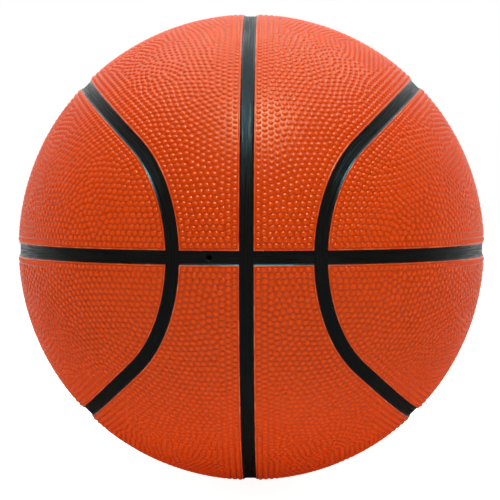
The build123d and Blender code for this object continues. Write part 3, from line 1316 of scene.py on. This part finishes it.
class BASKETBALL_OT_channel_strips(bpy.types.Operator):
    """Lay the black strips in the channels"""

    bl_idname = "basketball.channel_strips"
    bl_label = "Channel Strips"

    def execute(self, context):
        channel = context.scene.basketball_channel
        layout = ChannelLayout(channel)
        coats = [
            finish("Satin channel coat", channel_coat, channel),
            finish("Glossy channel edge", channel_edge, channel),
        ]
        rows = meridian_rows(layout)
        self.lay("meridian_channel", rows, True, clear_of_crossings(rows, layout), coats)
        for side_name, side in SIDES.items():
            mirror = np.array([side, 1.0, 1.0])
            rows = curved_rows(layout)
            shares = clear_of_crossings(rows, layout)
            self.lay(f"curved_channel_{side_name}", rows * mirror, True, shares, coats)
            stretches = {"side": "", "front": "front_", "back": "back_"}
            for stretch, prefix in stretches.items():
                rows = equator_rows(layout, stretch)
                node = f"equator_channel_{prefix}{side_name}"
                piece = self.lay(node, rows * mirror, False, np.ones(rows.shape[:2]), coats)
                if node == "equator_channel_front_left":
                    pierce(piece, VALVE_AXIS, channel.valve_hole)
        return {"FINISHED"}

    def lay(self, node, rows, closed, shares, coats):
        """Makes one strip and puts it in place."""
        name = f"coated_{node}"
        mesh = strip_mesh(name, rows, closed, shares)
        return add_piece(name, mesh, coats, node)


class BASKETBALL_OT_valve(bpy.types.Operator):
    """Finish the valve's plug and housing"""

    bl_idname = "basketball.valve"
    bl_label = "Valve"

    def execute(self, context):
        rubber = finish("Valve rubber", valve_rubber, context.scene.basketball_layers)
        coat_node("valve_plug", rubber)
        coat_node("valve_housing", rubber)
        return {"FINISHED"}


class BASKETBALL_OT_inner_layers(bpy.types.Operator):
    """Finish the carcass, the winding and the bladder"""

    bl_idname = "basketball.inner_layers"
    bl_label = "Inner Layers"

    def execute(self, context):
        layers = context.scene.basketball_layers
        coat_node("carcass", finish("Carcass rubber", carcass_rubber, layers))
        coat_node("thread_winding", finish("Wound nylon thread", thread_finish, layers))
        coat_node("bladder", finish("Butyl bladder", bladder_rubber, layers))
        return {"FINISHED"}


def ray_kind(graph, *kinds):
    """1 for rays of the given kinds and 0 for others."""
    total = None
    for kind in kinds:
        share = graph.node("ShaderNodeLightPath", {}, {}, kind)
        total = share if total is None else graph.math("MAXIMUM", total, share)
    return total


def white_room(graph, ambient):
    """White backdrop for what looks at it, in front of an evenly dim room; darker on the camera's side."""
    direction = graph.node("ShaderNodeTexCoord", {}, {}, "Generated")
    behind = graph.ease(graph.dot(direction, BACK), 0.15, 0.75)
    looked_at = ray_kind(graph, "Is Camera Ray", "Is Transmission Ray")
    mirrored = ray_kind(graph, "Is Glossy Ray")
    room = BEHIND_LIGHT * mirrored * behind + (1 - mirrored) * ambient
    strength = graph.math("MAXIMUM", looked_at, room)
    light = graph.node("ShaderNodeBackground", {}, {"Color": WHITE, "Strength": strength}, "Background")
    graph.node("ShaderNodeOutputWorld", {}, {"Surface": light})


def pale_floor(graph):
    """Floor that looks white where it is lit and keeps the ball's shadow."""
    place = graph.place()
    far = graph.ease(graph.length(place), 0.35, 1.2)
    depth = graph.dot(place, BACK)
    looked_at = ray_kind(graph, "Is Camera Ray", "Is Transmission Ray")
    shine = 0.15 + 0.18 * graph.ease(depth, -0.45, -0.10)
    strength = looked_at * (0.94 + 0.06 * far) + (1 - looked_at) * shine
    lit = graph.both(graph.paint(FLOOR_PAINT), graph.glow(strength))
    gleam = graph.glow(BEHIND_LIGHT * graph.ease(depth, 0.05, 0.45))
    shown = graph.both(graph.paint(DULL_PAINT), gleam)
    mirrored = ray_kind(graph, "Is Glossy Ray")
    graph.surface(graph.node("ShaderNodeMixShader", {}, {0: mirrored, 1: lit, 2: shown}, "Shader"))


def round_the_ball(distance, azimuth, elevation):
    """A place at some distance from the ball's centre; azimuth 0 is in front and grows to the right."""
    flat = distance * math.cos(elevation)
    return Vector((flat * math.sin(azimuth), -flat * math.cos(azimuth), distance * math.sin(elevation)))


def aimed(name, data, place):
    """Puts a lamp or camera at a place, aimed at the ball's centre."""
    made = add_object(name, data)
    made.location = place
    made.rotation_euler = (-place).to_track_quat("-Z", "Y").to_euler()
    return made


def softbox(name, power, size, place, mirrored=True):
    """A rectangular lamp aimed at the ball; one that isn't mirrored lights it without a reflection."""
    lamp = bpy.data.lights.new(name, "AREA")
    lamp.shape = "RECTANGLE"
    lamp.size, lamp.size_y = size
    lamp.energy = power
    aimed(name, lamp, round_the_ball(*place)).visible_glossy = mirrored


class BASKETBALL_OT_studio(bpy.types.Operator):
    """Set up the floor, the lamps and the camera"""

    bl_idname = "basketball.studio"
    bl_label = "Studio"

    def execute(self, context):
        scene = context.scene
        studio = scene.basketball_studio
        scene.view_settings.view_transform = "Standard"
        scene.world = bpy.data.worlds.new("White room")
        scene.world.use_nodes = True
        white_room(Graph(scene.world.node_tree), studio.ambient)
        builder = bmesh.new()
        bmesh.ops.create_grid(builder, x_segments=1, y_segments=1, size=FLOOR_HALF_WIDTH)
        floor = add_object("studio_floor", mesh_from(builder, "studio_floor"))
        floor.data.materials.append(finish("Pale floor", pale_floor))
        floor.location.z = -BALL_RADIUS
        softbox("Key softbox", studio.key_power, KEY_SIZE, KEY_PLACE)
        softbox("Top softbox", studio.top_power, TOP_SIZE, TOP_PLACE)
        distance, azimuth, elevation = SIDE_PLACE
        for side_name, side in SIDES.items():
            place = (distance, side * azimuth, elevation)
            softbox(f"Side softbox {side_name}", studio.side_power, SIDE_SIZE, place, mirrored=False)
        lens = bpy.data.cameras.new("Camera")
        lens.lens = studio.lens
        lens.sensor_width = SENSOR_WIDTH
        lens.shift_x, lens.shift_y = CAMERA_SHIFT
        eye = round_the_ball(studio.distance, studio.azimuth, studio.elevation)
        scene.camera = aimed("Camera", lens, eye)
        return {"FINISHED"}


class BASKETBALL_PT_pieces(bpy.types.Panel):
    """Lists the steps that dress the ball"""

    bl_idname = "BASKETBALL_PT_pieces"
    bl_label = "Basketball"
    bl_space_type = "VIEW_3D"
    bl_region_type = "UI"
    bl_category = "Basketball"

    def draw(self, context):
        for operator in OPERATORS:
            self.layout.operator(operator.bl_idname)
        for group in SETTINGS:
            settings = getattr(context.scene, group)
            for name in settings.__annotations__:
                self.layout.prop(settings, name)


SETTINGS = {
    "basketball_cover": CoverSettings,
    "basketball_channel": ChannelSettings,
    "basketball_layers": LayerSettings,
    "basketball_studio": StudioSettings,
}
OPERATORS = (
    BASKETBALL_OT_pebbled_panels,
    BASKETBALL_OT_channel_strips,
    BASKETBALL_OT_valve,
    BASKETBALL_OT_inner_layers,
    BASKETBALL_OT_studio,
)


def register():
    for group, settings in SETTINGS.items():
        bpy.utils.register_class(settings)
        setattr(bpy.types.Scene, group, PointerProperty(type=settings))
    for operator in OPERATORS:
        bpy.utils.register_class(operator)
    bpy.utils.register_class(BASKETBALL_PT_pieces)


def unregister():
    bpy.utils.unregister_class(BASKETBALL_PT_pieces)
    for operator in reversed(OPERATORS):
        bpy.utils.unregister_class(operator)
    for group, settings in SETTINGS.items():
        delattr(bpy.types.Scene, group)
        bpy.utils.unregister_class(settings)


def main():
    register()
    bpy.ops.basketball.pebbled_panels()
    bpy.ops.basketball.channel_strips()
    bpy.ops.basketball.valve()
    bpy.ops.basketball.inner_layers()
    bpy.ops.basketball.studio()


if __name__ == "__main__":
    main()
